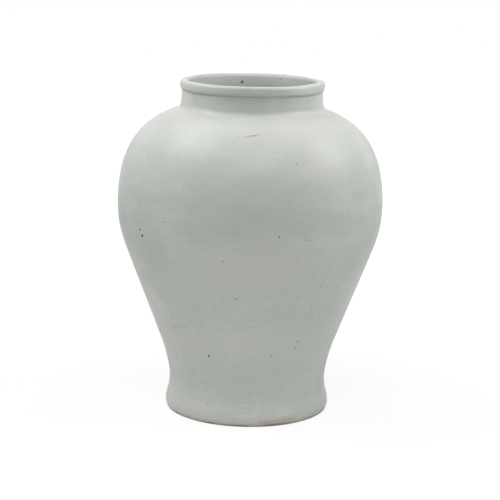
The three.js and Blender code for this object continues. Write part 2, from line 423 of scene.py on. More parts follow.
def turned_rows(points, marks=None):
    """Row i, column j: point i of a stretch, moved along its normal by the marks there, turned to angle j."""
    radius, height = points[:, :1], points[:, 1:]
    depth, normal = 0 * ANGLES, np.zeros_like(points)
    if marks:
        tangent = np.gradient(points, axis=0)
        normal = np.stack((tangent[:, 1], -tangent[:, 0]), 1)
        normal = normal / np.linalg.norm(normal, axis=1)[:, None]
        depth = marks(ANGLES, radius, height)
    radius = radius + normal[:, :1] * depth
    height = height + normal[:, 1:] * depth
    return np.stack((radius * np.cos(ANGLES), radius * np.sin(ANGLES), height), -1)


def grid_faces(rows, closed):
    """Quads between neighbouring rows and columns, joined round the axis; if closed, last row to first."""
    last = rows if closed else rows - 1
    row, column = np.meshgrid(np.arange(last), np.arange(COLUMNS), indexing="ij")
    next_row, next_column = (row + 1) % rows, (column + 1) % COLUMNS
    corners = ((row, column), (row, next_column), (next_row, next_column), (next_row, column))
    return np.stack([(r * COLUMNS + c).ravel() for r, c in corners], 1)


def make_piece(name, points, faces, node):
    """A smooth mesh object that stands for a CAD node and rides on the jar."""
    mesh = bpy.data.meshes.new(name)
    mesh.from_pydata(points.reshape(-1, 3).tolist(), [], faces)
    mesh.shade_smooth()
    mesh.set_sharp_from_angle(angle=SHARP_EDGE)
    piece = new_object(name, mesh)
    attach(piece, "root")
    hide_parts(node)
    print(f"{name}: {len(mesh.polygons)} faces")
    return piece


def turned_piece(name, stretches, node):
    """A chain of stretches, counter-clockwise with the radius to the right, turned into a closed piece."""
    points = np.concatenate([turned_rows(*stretch) for stretch in stretches])
    return make_piece(name, points, grid_faces(len(points), True).tolist(), node)


def wall(outer, inner, lower_ridge, upper_ridge):
    """The stretches of a wall: up the outside, over the seam, down the inside and over the seam below."""
    return (
        (outer, outside_marks),
        (upper_ridge[None],),
        (paced(inner, INSIDE_STEP)[::-1], inside_marks),
        (lower_ridge[None],),
    )


# %% [markdown]
# ## The foot
# The foot flares out below the waist and stands on a flat ring, the tread. Inside it a ledge carries the
# floor. Turned lines cut it just under the waist, so its rows lie closer than those of the body.

# %% Turn the foot
FOOT_STEP = 0.8 * MM
EDGE_HOLD = 0.22
FLARE_HOLD = (0.34, 0.56)
tread_out = TREAD_RADIUS * OUT
tread_in = tread_out - TREAD_WIDTH * OUT
ledge = np.array((waist_inside[0], slab_box[0].z - SLIP_FILM))
ledge_lip = ledge - LEDGE_WIDTH * OUT
flare_rise = WAIST[1] - FOOT_EDGE[1]
edge_out = EDGE_HOLD * (FOOT_EDGE[0] - TREAD_RADIUS) * OUT
foot_edge = sweep(tread_out, FOOT_EDGE, edge_out, EDGE_HOLD * FOOT_EDGE[1] * UP)
foot_flare = sweep(FOOT_EDGE, WAIST, FLARE_HOLD[0] * flare_rise * UP, FLARE_HOLD[1] * flare_rise * UP)
foot = turned_piece(
    "glazed_foot",
    (
        (paced(np.concatenate((foot_edge, foot_flare)), FOOT_STEP), outside_marks),
        (waist_seam["ridge"][None],),
        (chained((waist_inside, ledge, ledge_lip, tread_in, tread_out), INSIDE_STEP),),
    ),
    "foot_ring",
)

# %% [markdown]
# ## The lower and upper body
# These are the two big thrown sections. The lower one sweeps up from the waist into a straight cone. The
# upper one rounds over the belly and the shoulder and ends in a short upright rim that takes the neck. A
# Solidify modifier could thicken one line, but the inside has its own curves and rings, so both are drawn.

# %% Turn the lower body
lower_outer = np.concatenate((waist_sweep(WAIST, CONE_BASE), [CONE_TOP]))
cone_base_inside = CONE_BASE + LOWER_WALL * cone_inward
lower_inner = np.concatenate((waist_sweep(waist_inside, cone_base_inside), [cone_top_inside]))
lower_wall = wall(paced(lower_outer, OUTSIDE_STEP), lower_inner, waist_seam["groove"], belly_seam["ridge"])
lower_body = turned_piece("glazed_lower_body", lower_wall, "lower_body")

# %% Turn the upper body
SEAM_COIL_WIDTH = 18 * MM
NECK_LINE_FALL = 12 * MM
THROAT_ROUND = 5 * MM
UPPER_STEP = 1.25 * OUTSIDE_STEP
belly_inside = BELLY - UPPER_WALL * OUT
land_top = cone_top_inside + SEAM_COIL_WIDTH / 2 * cone_climb
under_neck = NECK_BASE + UPPER_WALL * shoulder_inward
throat = under_neck - (under_neck[0] - MOUTH_RADIUS) / shoulder_way[0] * shoulder_way
upper_outer = np.concatenate((
    belly_sweep(CONE_TOP, BELLY),
    shoulder_sweep(BELLY, NECK_BASE, NECK_FILLET, neck_climb),
))
upper_inner = np.concatenate((
    [cone_top_inside],
    belly_sweep(land_top, belly_inside),
    shoulder_sweep(belly_inside, throat, THROAT_ROUND, UP),
    [neck_seam["inside"]],
))

# The rows lie closer where the tool's grooves run round the neck
round_neck = upper_outer[:, 1] > NECK_BASE[1] - NECK_LINE_FALL
round_body = np.concatenate((upper_outer[~round_neck], upper_outer[round_neck][:1]))
upper_rows = np.concatenate((
    paced(round_body, UPPER_STEP),
    paced(upper_outer[round_neck], NECK_STEP)[1:],
))
upper_wall = wall(upper_rows, upper_inner, belly_seam["groove"], neck_seam["ridge"])
upper_body = turned_piece("glazed_upper_body", upper_wall, "upper_body")

# %% [markdown]
# ## The neck and the lip
# The neck is a short collar, a little narrower at the top. The lip is rolled over and stands proud of it, so
# that glaze gathers in the undercut below. A Bevel modifier would round all its edges alike, so three curves
# draw it: the roll and both edges of the rim.

# %% Turn the neck
NECK_INSIDE_STEP = 2 * MM
neck = turned_piece(
    "glazed_neck",
    (
        (paced((neck_foot, NECK_TOP), NECK_STEP), outside_marks),
        (lip_seam["ridge"][None],),
        (paced((lip_seam["inside"], neck_seam["inside"]), NECK_INSIDE_STEP), inside_marks),
        (neck_seam["groove"][None],),
    ),
    "neck_collar",
)

# %% Turn the lip
LIP_STEP = 0.5 * MM
LIP_ROLL_RISE = 9.3 * MM
LIP_ROLL_HOLD = 0.35
LIP_OUTER_ROUND = 5 * MM
lip_roll = np.array((LIP_RADIUS, NECK_TOP[1] + LIP_ROLL_RISE))
under_roll = lip_roll - (1 - LIP_ROLL_HOLD) * LIP_ROLL_RISE * UP
rim_out = np.array((LIP_RADIUS, RIM_HEIGHT))
rim_in = np.array((MOUTH_RADIUS, RIM_HEIGHT))
lip_line = np.concatenate((
    rounded(NECK_TOP, under_roll, lip_roll),
    rounded(rim_out - LIP_OUTER_ROUND * UP, rim_out, rim_out - LIP_OUTER_ROUND * OUT),
    rounded(rim_in + LIP_INNER_ROUND * OUT, rim_in, rim_in - LIP_INNER_ROUND * UP),
    [lip_seam["inside"]],
))
lip_stretches = ((paced(lip_line, LIP_STEP), lip_marks), (lip_seam["groove"][None],))
lip = turned_piece("glazed_lip", lip_stretches, "rolled_lip")

# %% [markdown]
# ## The floor and the coils
# The floor is a round slab on the foot's ledge. Two coils of clay lie inside, one in the corner between floor
# and wall and one over the belly seam. They show only through the mouth, so they have no marks.

# %% Make the floor slab
SLAB_STEP = 4 * MM
slab_radius = slab_box[1].x
under_edge = np.array((slab_radius, slab_box[0].z))
upper_edge = np.array((slab_radius, slab_box[1].z))
under_start, upper_end = [SLAB_STEP * OUT + corner.z * UP for corner in slab_box]
slab_line = chained((under_start, under_edge, upper_edge, upper_end), SLAB_STEP)
slab_line = np.concatenate((slab_line, [upper_end]))
slab_rim = turned_rows(slab_line).reshape(-1, 3)
slab_poles = np.array(((0, 0, slab_box[0].z), (0, 0, slab_box[1].z)))
column = np.arange(COLUMNS)
next_column = (column + 1) % COLUMNS
last_row = (len(slab_line) - 1) * COLUMNS
under_pole = np.stack((0 * column + len(slab_rim), next_column, column), 1)
upper_pole = np.stack((0 * column + len(slab_rim) + 1, last_row + column, last_row + next_column), 1)
slab_faces = grid_faces(len(slab_line), False).tolist() + under_pole.tolist() + upper_pole.tolist()
slab_points = np.concatenate((slab_rim, slab_poles))
jar_floor = make_piece("jar_floor", slab_points, slab_faces, "base_slab")

# %% Press in the coils
FLOOR_COIL_SIZE = 14 * MM
FLOOR_COIL_HOLLOW = 0.4
SEAM_COIL_DEPTH = 4.5 * MM
BOW_PER_HOLD = 3 / 4
COIL_STEP = 1.5 * MM

coil_corner = upper_edge + SLIP_FILM * UP
coil_toe = coil_corner - FLOOR_COIL_SIZE * OUT
coil_top = coil_corner + FLOOR_COIL_SIZE * UP
coil_hollow = (coil_toe + coil_top) / 2 * (1 - FLOOR_COIL_HOLLOW) + coil_corner * FLOOR_COIL_HOLLOW
floor_coil = turned_piece(
    "smoothed_floor_coil",
    (
        (chained((coil_toe, coil_corner, coil_top), COIL_STEP),),
        (paced(rounded(coil_top, coil_hollow, coil_toe), COIL_STEP)[:-1],),
    ),
    "floor_coil",
)

coil_seat = cone_top_inside + SLIP_FILM * cone_inward
coil_low = coil_seat - SEAM_COIL_WIDTH / 2 * cone_climb
coil_high = coil_seat + SEAM_COIL_WIDTH / 2 * cone_climb
coil_crown = SEAM_COIL_DEPTH / BOW_PER_HOLD * cone_inward
seam_coil = turned_piece(
    "smoothed_seam_coil",
    (
        (chained((coil_low, coil_high), COIL_STEP),),
        (paced(sweep(coil_high, coil_low, coil_crown, -coil_crown), COIL_STEP)[:-1],),
    ),
    "seam_coil",
)

# %% [markdown]
# ## Writing shader maths as expressions
# A material is a graph of nodes, which is hard to read as code. One small class wraps a socket so that
# `1 - mask * 2` adds the Math nodes it needs, and one method makes every other node.


# %% A small language for shaders
class Value:
    """A socket of a node tree that takes part in Python arithmetic."""

    def __init__(self, tree, socket=None):
        self.tree = tree
        self.socket = socket

    def node(self, kind, settings=None, sockets=None, output=0):
        """Adds a node: its settings first, then a value or a link for each socket; gives one output."""
        made = self.tree.nodes.new(kind)
        for key, setting in (settings or {}).items():
            setattr(made, key, setting)
        for key, given in (sockets or {}).items():
            if isinstance(given, Value):
                self.tree.links.new(given.socket, made.inputs[key])
            else:
                made.inputs[key].default_value = given
        return Value(self.tree, made.outputs[output] if made.outputs else None)

    def math(self, operation, first, second):
        return self.node("ShaderNodeMath", {"operation": operation}, {0: first, 1: second})

    def __add__(self, other):
        return self.math("ADD", self, other)

    def __sub__(self, other):
        return self.math("SUBTRACT", self, other)

    def __rsub__(self, other):
        return self.math("SUBTRACT", other, self)

    def __mul__(self, other):
        return self.math("MULTIPLY", self, other)

    __radd__ = __add__
    __rmul__ = __mul__

    def most(self, other):
        return self.math("MAXIMUM", self, other)

    def rising(self, low, high):
        """0 at low, 1 at high and smooth between; with low above high it falls instead."""
        settings = {"interpolation_type": "SMOOTHSTEP", "clamp": False}
        return self.node("ShaderNodeMapRange", settings, {"Value": self, "From Min": low, "From Max": high})

    def vector(self, operation, other, output=0):
        """Vector maths with another vector; dot products and distances come out of the Value socket."""
        return self.node("ShaderNodeVectorMath", {"operation": operation}, {0: self, 1: other}, output)

    def noise(self, scale, detail, stretch=(1, 1, 1), output=0):
        """Noise of this many cells to the metre, stretched by its own factors along the axes."""
        sockets = {"Vector": self.vector("MULTIPLY", stretch), "Scale": scale, "Detail": detail}
        return self.node("ShaderNodeTexNoise", {}, sockets, output)

    def within(self, rise, fall):
        """1 between two soft edges: the value rises over the first span and falls over the second one."""
        return self.rising(*rise) * self.rising(*fall)

    def along(self, way):
        """How far these coordinates lie along a way: their dot product with it."""
        return self.vector("DOT_PRODUCT", tuple(way), "Value")

    def away_from(self, place):
        """The distance of these coordinates from a place."""
        return self.vector("DISTANCE", tuple(place), "Value")

    def away_from_line(self, start, end):
        """The distance of these coordinates from a straight line between two places."""
        reach = np.subtract(end, start)
        share = self.vector("SUBTRACT", tuple(start)).along(reach / (reach @ reach))
        share = self.node("ShaderNodeClamp", {}, {"Value": share})
        scaled = {0: tuple(reach), "Scale": share}
        nearest = self.node("ShaderNodeVectorMath", {"operation": "SCALE"}, scaled)
        return self.vector("DISTANCE", nearest.vector("ADD", tuple(start)), "Value")

    def tint(self, plain, other):
        """A colour: plain where this value is 0, other where it is 1."""
        colours = {0: self, 6: plain, 7: other}
        return self.node("ShaderNodeMix", {"data_type": "RGBA"}, colours, 2)


def new_material(name):
    """An empty material, and its Object coordinates as the first value."""
    material = bpy.data.materials.new(name)
    material.use_nodes = True
    material.node_tree.nodes.clear()
    return material, Value(material.node_tree).node("ShaderNodeTexCoord", output="Object")


def rgb(red, green, blue):
    return (red, green, blue, 1.0)


# %% [markdown]
# ## Where the marks are
# Iron in the clay burned through the glaze in dark specks, and a firing scar crosses the shoulder. Their
# places are known as pixels of the photograph, so each pixel's ray is followed from the camera until it
# comes inside the outline. Where the photograph doesn't show the jar, noise scatters more.

# %% Follow a pixel's ray to the jar
outside_line = np.concatenate((foot_edge, foot_flare, lower_outer, upper_outer, lip_line[:ROUND_COUNT]))
RAY_STEPS = 4000
RAY_REACH = 0.35


def ray_places(pixels):
    """Points along each pixel's ray, near the jar, and the distance of each from the upright axis."""
    offset = (np.asarray(pixels, float) - PHOTO_SIDE / 2) / FOCAL_PIXELS
    ray = offset[:, :1] * right_way - offset[:, 1:] * up_way - back_way
    reach = CAMERA_DISTANCE + np.linspace(-RAY_REACH, RAY_REACH, RAY_STEPS)
    places = camera_place + ray[:, None, :] * reach[None, :, None]
    return places, np.hypot(places[..., 0], places[..., 1])


def on_outside(pixels):
    """The first point of each ray that is nearer to the axis than the outline at its height."""
    places, radius = ray_places(pixels)
    limit = np.interp(places[..., 2], outside_line[:, 1], outside_line[:, 0])
    first = np.argmax(radius < limit, axis=1)
    return places[np.arange(len(places)), first]


def in_mouth(pixels):
    """The last point of each ray that is nearer to the axis than the mouth's radius: its far side."""
    places, radius = ray_places(pixels)
    last = RAY_STEPS - 1 - np.argmax(radius[:, ::-1] < MOUTH_RADIUS, axis=1)
    return places[np.arange(len(places)), last]


# %% Specks of iron
# Each speck: pixel, radius in mm, strength
SPECKS = (
    (140.3, 229.5, 2, 1), (142.3, 235.6, 2.2, 1), (149, 155, 1.2, 0.4), (170.3, 198, 1.4, 0.5),
    (297, 164, 1.4, 0.5), (147.8, 214, 1.3, 0.5), (143.8, 214, 1.4, 0.5), (164.4, 222, 1.5, 0.5),
    (279.5, 237, 1.6, 0.65), (307, 240, 1.5, 0.5), (190, 241.2, 1.4, 0.5), (196.7, 254, 1.2, 0.45),
    (223, 262, 1.3, 0.4), (266, 264, 1.4, 0.4), (243, 266, 1.1, 0.35), (320.5, 287, 1.4, 0.6),
    (236.5, 299, 1.4, 0.6), (254, 303, 1, 0.35), (319, 317, 1.4, 0.65), (172, 315, 1, 0.45),
    (174, 326, 1.5, 0.6), (171.5, 329, 1, 0.45), (297.5, 341.5, 1.5, 0.75), (295.5, 348.5, 1.4, 0.75),
    (209, 356, 1.7, 1), (226.5, 354, 1.2, 0.45), (176.5, 355, 1.4, 0.5), (242, 348, 1.2, 0.4),
    (271, 356, 1.5, 0.45), (275, 351.5, 1.2, 0.4), (311, 369.5, 1.3, 0.55), (194, 374, 1.2, 0.5),
    (243, 402, 1, 0.35), (207, 404, 1.4, 0.35), (291, 393, 1.2, 0.4), (188.5, 397, 1.1, 0.4),
    (228.5, 415, 1.1, 0.5), (242.5, 421, 1, 0.5), (278, 420, 1.2, 0.5), (293, 403, 1.2, 0.4),
    (154.5, 192.5, 1, 0.3), (140, 197.5, 1, 0.3), (189, 181, 1, 0.3), (197.5, 186, 1.1, 0.3),
    (185, 202.5, 1, 0.3), (218, 202, 1, 0.25), (234, 202, 1.2, 0.25), (142.5, 222, 1, 0.35),
    (304, 237, 1.1, 0.35), (290, 201, 1, 0.3), (278, 189, 0.9, 0.25), (248, 207.5, 0.9, 0.25),
    (249, 256, 0.9, 0.25), (218, 277.5, 0.9, 0.25), (279, 275, 1, 0.3), (235, 290.5, 0.9, 0.3),
    (298, 262.5, 1, 0.3), (298, 279, 1.1, 0.35), (314.5, 278, 1, 0.3), (329, 270, 1, 0.3),
    (342.5, 281, 1.1, 0.3), (352, 271, 1, 0.25), (311, 305, 1, 0.3), (256, 351, 0.9, 0.3),
    (260.5, 419.6, 1.1, 0.45), (215.2, 420.4, 1.1, 0.4), (302, 414, 1.1, 0.35), (290, 418.4, 1, 0.35),
)
MOUTH_SPECKS = ((242, 82, 2.3, 0.8), (281, 79, 1.2, 0.5), (230, 81, 1.2, 0.3), (299, 81.5, 1.3, 0.3))
speck_places = on_outside([speck[:2] for speck in SPECKS])
mouth_places = in_mouth([speck[:2] for speck in MOUTH_SPECKS])
all_specks = list(zip(speck_places, SPECKS)) + list(zip(mouth_places, MOUTH_SPECKS))
print(f"{len(all_specks)} specks are placed")

# %% Strokes of the scar and the scratches, and of painted highlights and painted shade
# Each stroke: pixels of its start and end, half width in mm
SCAR = ((249, 136.2, 256, 135.2, 2.4), (244.5, 136.6, 260, 134, 1.3))
# Painted highlight along the upper edge of the scar
SCAR_GLEAMS = ((248.5, 134.3, 255, 133.2, 2),)
SCAR_DASHES = (
    (235.5, 138.4, 239.5, 136.6, 1.5), (264.5, 133.6, 269, 134.2, 1.6),
    (270, 132.6, 275.5, 129.8, 1.3), (272, 137.8, 275.5, 136, 1.2),
    (278.5, 135.2, 280, 135.8, 1.1), (286, 131.2, 289.5, 132, 1),
    (252.5, 124.6, 255.5, 124.4, 0.9), (274, 116.6, 276, 116.2, 1.3),
    (274.5, 119.8, 276, 119.4, 1.3), (176, 326.5, 188, 327, 1.4),
)
# Dark strokes: those at the neck's base and on the foot are painted shade in the tool's grooves, the others
# dark lines in the glaze
SCRATCHES_AND_GROOVE_SHADE = (
    (191, 115.4, 204, 119, 1.7), (204, 119, 218, 121.9, 1.7), (218, 121.9, 234, 123.6, 1.4),
    (199, 113.4, 206, 115, 1.3), (206, 115, 219, 117.4, 1.4), (256, 119.3, 275, 119.2, 1),
    (219, 402.8, 262, 402.4, 1.1), (264, 401.6, 290, 399.6, 1), (312.5, 298, 311, 309, 1),
    (243, 246.5, 262, 246.8, 1.1), (262, 244.4, 291, 243.6, 1.1), (230, 249, 247, 249.4, 1),
)
# Painted highlights along the upper and lower edges of the thumb print on the foot
FOOT_GLEAMS = ((241, 406.4, 260, 406, 2.2), (238, 416.4, 254, 416.8, 3))
print(f"{len(SCAR_DASHES)} dashes and {len(SCRATCHES_AND_GROOVE_SHADE)} scratches")

# %% Clouds of the glaze, and clouds of painted light and painted shade
# Each cloud: pixel of its middle, half width and half height in mm, strength
BELLY_CLOUD = (243, 212, 130, 90)
# Painted highlights on the right shoulder, warm in tone
CREAM_HIGHLIGHT_CLOUDS = ((324, 160, 44, 40, 0.25), (298, 130, 40, 24, 0.15))
# Painted shade on the right of the waist and the foot
LOWER_RIGHT_SHADE_CLOUDS = ((321, 390, 30, 72, 0.34), (317, 409, 20, 14, 0.2))
# Painted shade on the left and right sides of the belly and on the right of the cone
SIDE_SHADE_CLOUDS = ((362, 250, 66, 52, 0.4), (136, 238, 54, 46, 0.2), (338, 306, 60, 60, 0.12))
# Patches of green glaze; those at the left and right edges of the belly and on the right of the foot are also
# painted shade
GREEN_AND_SHADE_CLOUDS = (
    (150, 250, 50, 42, 0.45), (127, 236, 36, 40, 0.5), (352, 267, 44, 32, 0.4),
    (368, 243, 32, 38, 0.5), (311, 402, 62, 40, 0.75), (200, 240, 28, 14, 0.35),
    (122, 206, 30, 54, 0.65), (366, 262, 24, 40, 0.5), (285, 252, 130, 14, 0.25),
    (376, 215, 20, 66, 0.5), (248, 142, 80, 30, 0.14), (177, 400, 26, 14, 0.3),
)
ROSY_CLOUDS = ((256, 272, 95, 62, 0.5), (186, 413, 56, 17, 0.8), (212, 420.5, 50, 9, 0.7))
# Pale patches: a few of pale glaze, most of them painted light on the left edges, on the shoulder's highlights
# and on the shoulder right of the neck
PALE_AND_LIT_CLOUDS = (
    (334, 243, 42, 10, 0.2), (172, 256, 20, 7, 0.3), (240, 348, 190, 46, 0.35),
    (166, 336, 56, 130, 0.5), (292, 117, 44, 10, 0.75), (364, 148, 34, 46, 0.6),
    (148, 134, 32, 34, 0.4), (306, 172, 40, 20, 0.35), (340, 194, 34, 26, 0.3),
    (272, 105, 16, 22, 0.3), (155, 300, 26, 30, 0.6),
)
OLIVE_CLOUDS = (
    (312, 315, 12, 46, 0.3), (196, 318, 16, 50, 0.12), (279, 402, 24, 8, 0.4),
    (208, 403, 9, 4, 0.3), (246, 409, 16, 3.5, 0.5),
)
TAN_CLOUDS = (
    (278, 404.5, 7, 3, 0.12), (289, 418.6, 19, 7, 0.65), (279, 420.6, 20, 5.5, 0.6),
    (266, 422.4, 24, 5, 0.6), (296, 415.6, 9, 5, 0.2),
)
print(f"{len(GREEN_AND_SHADE_CLOUDS)} green and {len(PALE_AND_LIT_CLOUDS)} pale clouds")

# %% [markdown]
# ## The celadon glaze
# Celadon is a thin grey-green glass over pale clay. Where it is thicker, on the belly, the neck and under the
# lip, it is greener and darker, and the kiln left warm and cool clouds. Under the lip that darkening is also
# painted shade, and painted shade and painted light lie on the jar's sides, inside the mouth and on the
# shoulder's highlights, with painted reflections at the edges of the neck and the lip. All of this is mixed
# from the Object coordinates, which are metres, so every band has its real height.

# %% Colours of the glaze and the clay
COOL_GLAZE = rgb(0.601, 0.647, 0.598)
WARM_GLAZE = rgb(0.624, 0.650, 0.603)
ROSY_GLAZE = rgb(0.632, 0.630, 0.598)
OLIVE_GLAZE = rgb(0.560, 0.575, 0.495)
GREEN_GLAZE = rgb(0.500, 0.560, 0.502)
SHADED_GLAZE = rgb(0.514, 0.548, 0.505)
# Colour of the painted shade on the jar's sides
PAINTED_SIDE_SHADE = rgb(0.528, 0.536, 0.504)
POOLED_GLAZE_AND_SHADE = rgb(0.365, 0.425, 0.372)
PALE_GLAZE_AND_HIGHLIGHT = rgb(0.700, 0.705, 0.672)
# Colour of a painted highlight, a warm cream
PAINTED_CREAM_HIGHLIGHT = rgb(0.690, 0.685, 0.618)
LIP_REFLECTION_TINT = rgb(0.668, 0.700, 0.652)
INSIDE_GLAZE = rgb(0.755, 0.780, 0.733)
MOUTH_SHADE = rgb(0.595, 0.620, 0.580)
RIM_GLAZE = rgb(0.500, 0.502, 0.478)
FOOT_GLAZE = rgb(0.655, 0.635, 0.600)
BARE_CLAY = rgb(0.330, 0.272, 0.222)
TAN_CLAY = rgb(0.515, 0.455, 0.365)
IRON = rgb(0.030, 0.028, 0.025)
SCAR_BROWN = rgb(0.330, 0.240, 0.165)
SCAR_GREY = rgb(0.425, 0.385, 0.350)


# %% Clouds and streaks
def layered(colour, *layers):
    """The colour under a stack of layers, each of a strength, a mask and a tint."""
    for strength, mask, tint in layers:
        colour = (strength * mask).tint(colour, tint)
    return colour


def glaze_clouds(place):
    """Warm and cool clouds of two sizes, level streaks and upright runs, as one colour."""
    clouds = place.noise(15, 5, (1, 1, 1.5)).rising(0.36, 0.64)
    patches = place.noise(50, 3, (0.7, 0.7, 2.6)).rising(0.35, 0.65)
    streaks = place.noise(16, 4, (0.5, 0.5, 9)).rising(0.42, 0.7)
    runs = place.noise(26, 3, (2.4, 2.4, 0.3)).rising(0.5, 0.75)
    grain = place.noise(140, 3, (0.8, 0.8, 1.6)).rising(0.3, 0.7)
    colour = (0.75 * clouds + 0.25 * patches).tint(COOL_GLAZE, WARM_GLAZE)
    colour = layered(colour, (0.16, streaks, GREEN_GLAZE), (0.34, grain, SHADED_GLAZE))
    return layered(colour, (0.22, runs, PALE_GLAZE_AND_HIGHLIGHT))


def cloud_mask(place, cloud):
    """1 inside a ragged cloud round a pixel's place, 0 outside: the distance in half widths and heights."""
    pixel, (half_width, half_height) = cloud[:2], cloud[2:4]
    shape = np.array((1 / half_width, 1 / half_width, 1 / half_height)) / MM
    distance = place.vector("MULTIPLY", shape).away_from(shape * on_outside([pixel])[0])
    return (distance + 0.9 * place.noise(24, 4) - 0.45).rising(1.1, 0.25)


def cloud_tints(colour, place):
    """The clouds that the photograph shows, each kind in its own colour."""
    # Besides the glaze clouds, these tint painted highlights, painted shade and painted light: the cream,
    # lower right and side clouds, and parts of the green and pale ones
    kinds = (
        (GREEN_AND_SHADE_CLOUDS, GREEN_GLAZE), (ROSY_CLOUDS, ROSY_GLAZE), (PALE_AND_LIT_CLOUDS, PALE_GLAZE_AND_HIGHLIGHT),
        (OLIVE_CLOUDS, OLIVE_GLAZE), (TAN_CLOUDS, TAN_CLAY), (CREAM_HIGHLIGHT_CLOUDS, PAINTED_CREAM_HIGHLIGHT),
        (LOWER_RIGHT_SHADE_CLOUDS, POOLED_GLAZE_AND_SHADE), (SIDE_SHADE_CLOUDS, PAINTED_SIDE_SHADE),
    )
    for clouds, tint in kinds:
        for cloud in clouds:
            colour = layered(colour, (cloud[4], cloud_mask(place, cloud), tint))
    return colour


# %% Where the glaze is thick
# Spans of height above the ragged line round the belly, and above the ground
BELT = ((-36 * MM, -16 * MM), (70 * MM, 15 * MM))
BELOW_BELT = ((-130 * MM, -50 * MM), (-12 * MM, -32 * MM))
DASHED_EDGE = ((-58 * MM, -40 * MM), (-14 * MM, -24 * MM))
CLOUD_EDGE = (-40 * MM, -18 * MM)
BLOTCHES_START = (270 * MM, 310 * MM)
ROSY_SHOULDER = ((402 * MM, 445 * MM), (468 * MM, 458 * MM))


def thick_glaze(colour, place, height):
    """Green above a ragged line round the belly, where the glaze is thick, warm just below that line, and
    rosy on the shoulder."""
    wander = 50 * MM * place.noise(9, 4, (1, 1, 1.5)) + 20 * MM * place.noise(55, 4, (1, 1, 4))
    ragged = height - BELLY[1] + (wander - 35 * MM)
    mottle = 0.45 * place.noise(60, 3, (0.7, 0.7, 2.4)).rising(0.3, 0.7)
    mottle = mottle + 0.55 * place.noise(26, 3, (0.8, 0.8, 2)).rising(0.3, 0.7)
    dashes = place.noise(60, 3, (0.25, 0.25, 8)).rising(0.5, 0.62) * ragged.within(*DASHED_EDGE)
    blotches = place.noise(26, 3, (0.8, 0.8, 2)).rising(0.35, 0.65) * height.rising(*BLOTCHES_START)
    cloud = ragged.rising(*CLOUD_EDGE) * cloud_mask(place, BELLY_CLOUD)
    return layered(
        colour,
        (0.3, ragged.within(*BELOW_BELT), WARM_GLAZE),
        (0.3, blotches, GREEN_GLAZE),
        (0.45, height.within(*ROSY_SHOULDER), ROSY_GLAZE),
        (0.7, ragged.within(*BELT) * mottle, GREEN_GLAZE),
        (0.34, dashes, GREEN_GLAZE),
        (0.45, cloud, SHADED_GLAZE),
    )


# %% The neck, the mouth and the foot
# The sides are told by the square of the distance from the middle, in square metres
FRONT_SPAN = (0.0070, 0.0003)
POOL_SPAN = (0.0045, 0.0004)
LIP_SIDES = (0.0012, 0.0070)
NECK_EDGES = (0.0062, 0.0104)
MOUTH_SIDES = (0.0016, 0.0060)
FRONT_SHIFT = 5 * MM
FOOT_BAND = (30 * MM, 8 * MM)
FOOT_PATCHES = (16 * MM, 4 * MM)


def neck_glaze(colour, place, height):
    """Green in upright runs at the front and back of the neck, a painted reflection at its edges and at the
    lip's sides, and pooled glaze with painted shade below the lip."""
    base, top = NECK_BASE[1], NECK_TOP[1]
    across = place.along((1, 0, 0))
    side = across + FRONT_SHIFT
    runs = 0.65 * place.noise(60, 3, (1, 1, 0.12)).rising(0.35, 0.65)
    runs = runs + 0.35 * place.noise(170, 2, (1, 1, 0.06)).rising(0.4, 0.6)
    band = height.rising(base - 3 * MM, base + 14 * MM) * (side * side).rising(*FRONT_SPAN)
    # Painted reflection: paler at the left and right sides of the lip
    painted_lip_reflection = height.rising(top, top + 4 * MM) * (side * side).rising(*LIP_SIDES)
    # Painted reflection: pale at the left and right edges of the neck
    painted_edge_reflection = height.within((base + 1 * MM, base + 8 * MM), (top + 2 * MM, top - 1 * MM))
    painted_edge_reflection = painted_edge_reflection * (across * across).rising(*NECK_EDGES)
    # Below the lip: part pooled glaze and part painted shade, strongest at the front and the back
    middle = 0.25 + 0.75 * (side * side).rising(*POOL_SPAN)
    pool = middle * height.rising(top - 17 * MM, top - 1.5 * MM)
    pool = pool.most(height.rising(top - 4 * MM, top - 1 * MM))
    pool = pool * height.rising(top + 5 * MM, top + 1 * MM)
    colour = layered(colour, (0.85, (0.4 + 0.6 * runs) * band, GREEN_GLAZE), (0.6, painted_lip_reflection, LIP_REFLECTION_TINT))
    return layered(colour, (0.55, pool, POOLED_GLAZE_AND_SHADE), (0.95, painted_edge_reflection, PALE_GLAZE_AND_HIGHLIGHT))


def mouth_glaze(colour, place, radius, height):
    """Pale inside the mouth, with painted shade at its sides and further down, and thin and grey on top of the
    rim, where more grey towards the back is painted shade over the rim's reflection.
    """
    in_neck = radius.rising(MOUTH_RADIUS + 2 * MM, MOUTH_RADIUS + 0.5 * MM)
    in_neck = in_neck * height.rising(NECK_BASE[1] - 30 * MM, NECK_BASE[1] - 20 * MM)
    # Painted shade: darker further down inside the mouth
    inside = height.rising(RIM_HEIGHT - 3 * MM, RIM_HEIGHT - 22 * MM).tint(INSIDE_GLAZE, MOUTH_SHADE)
    across = place.along((1, 0, 0))
    # Painted shade: darker at the mouth's left and right sides
    inside = (0.5 * (across * across).rising(*MOUTH_SIDES)).tint(inside, MOUTH_SHADE)
    # Thin grey glaze on the rim, and more of it towards the back as painted shade over the rim's reflection
    behind = place.along((0, 1, 0)).rising(-70 * MM, 50 * MM)
    rim_grey_and_back_shade = height.rising(RIM_HEIGHT - 3.5 * MM, RIM_HEIGHT - 0.5 * MM) * (0.3 + 0.42 * behind)
    return rim_grey_and_back_shade.tint(in_neck.tint(colour, inside), RIM_GLAZE)


def foot_glaze(colour, place, height):
    """Warm and thin towards the ground, with the bare clay shining through in tan patches."""
    patches = place.noise(35, 3).rising(0.55, 0.75) * height.rising(*FOOT_PATCHES)
    return layered(colour, (0.7, height.rising(*FOOT_BAND), FOOT_GLAZE), (0.4, patches, TAN_CLAY))


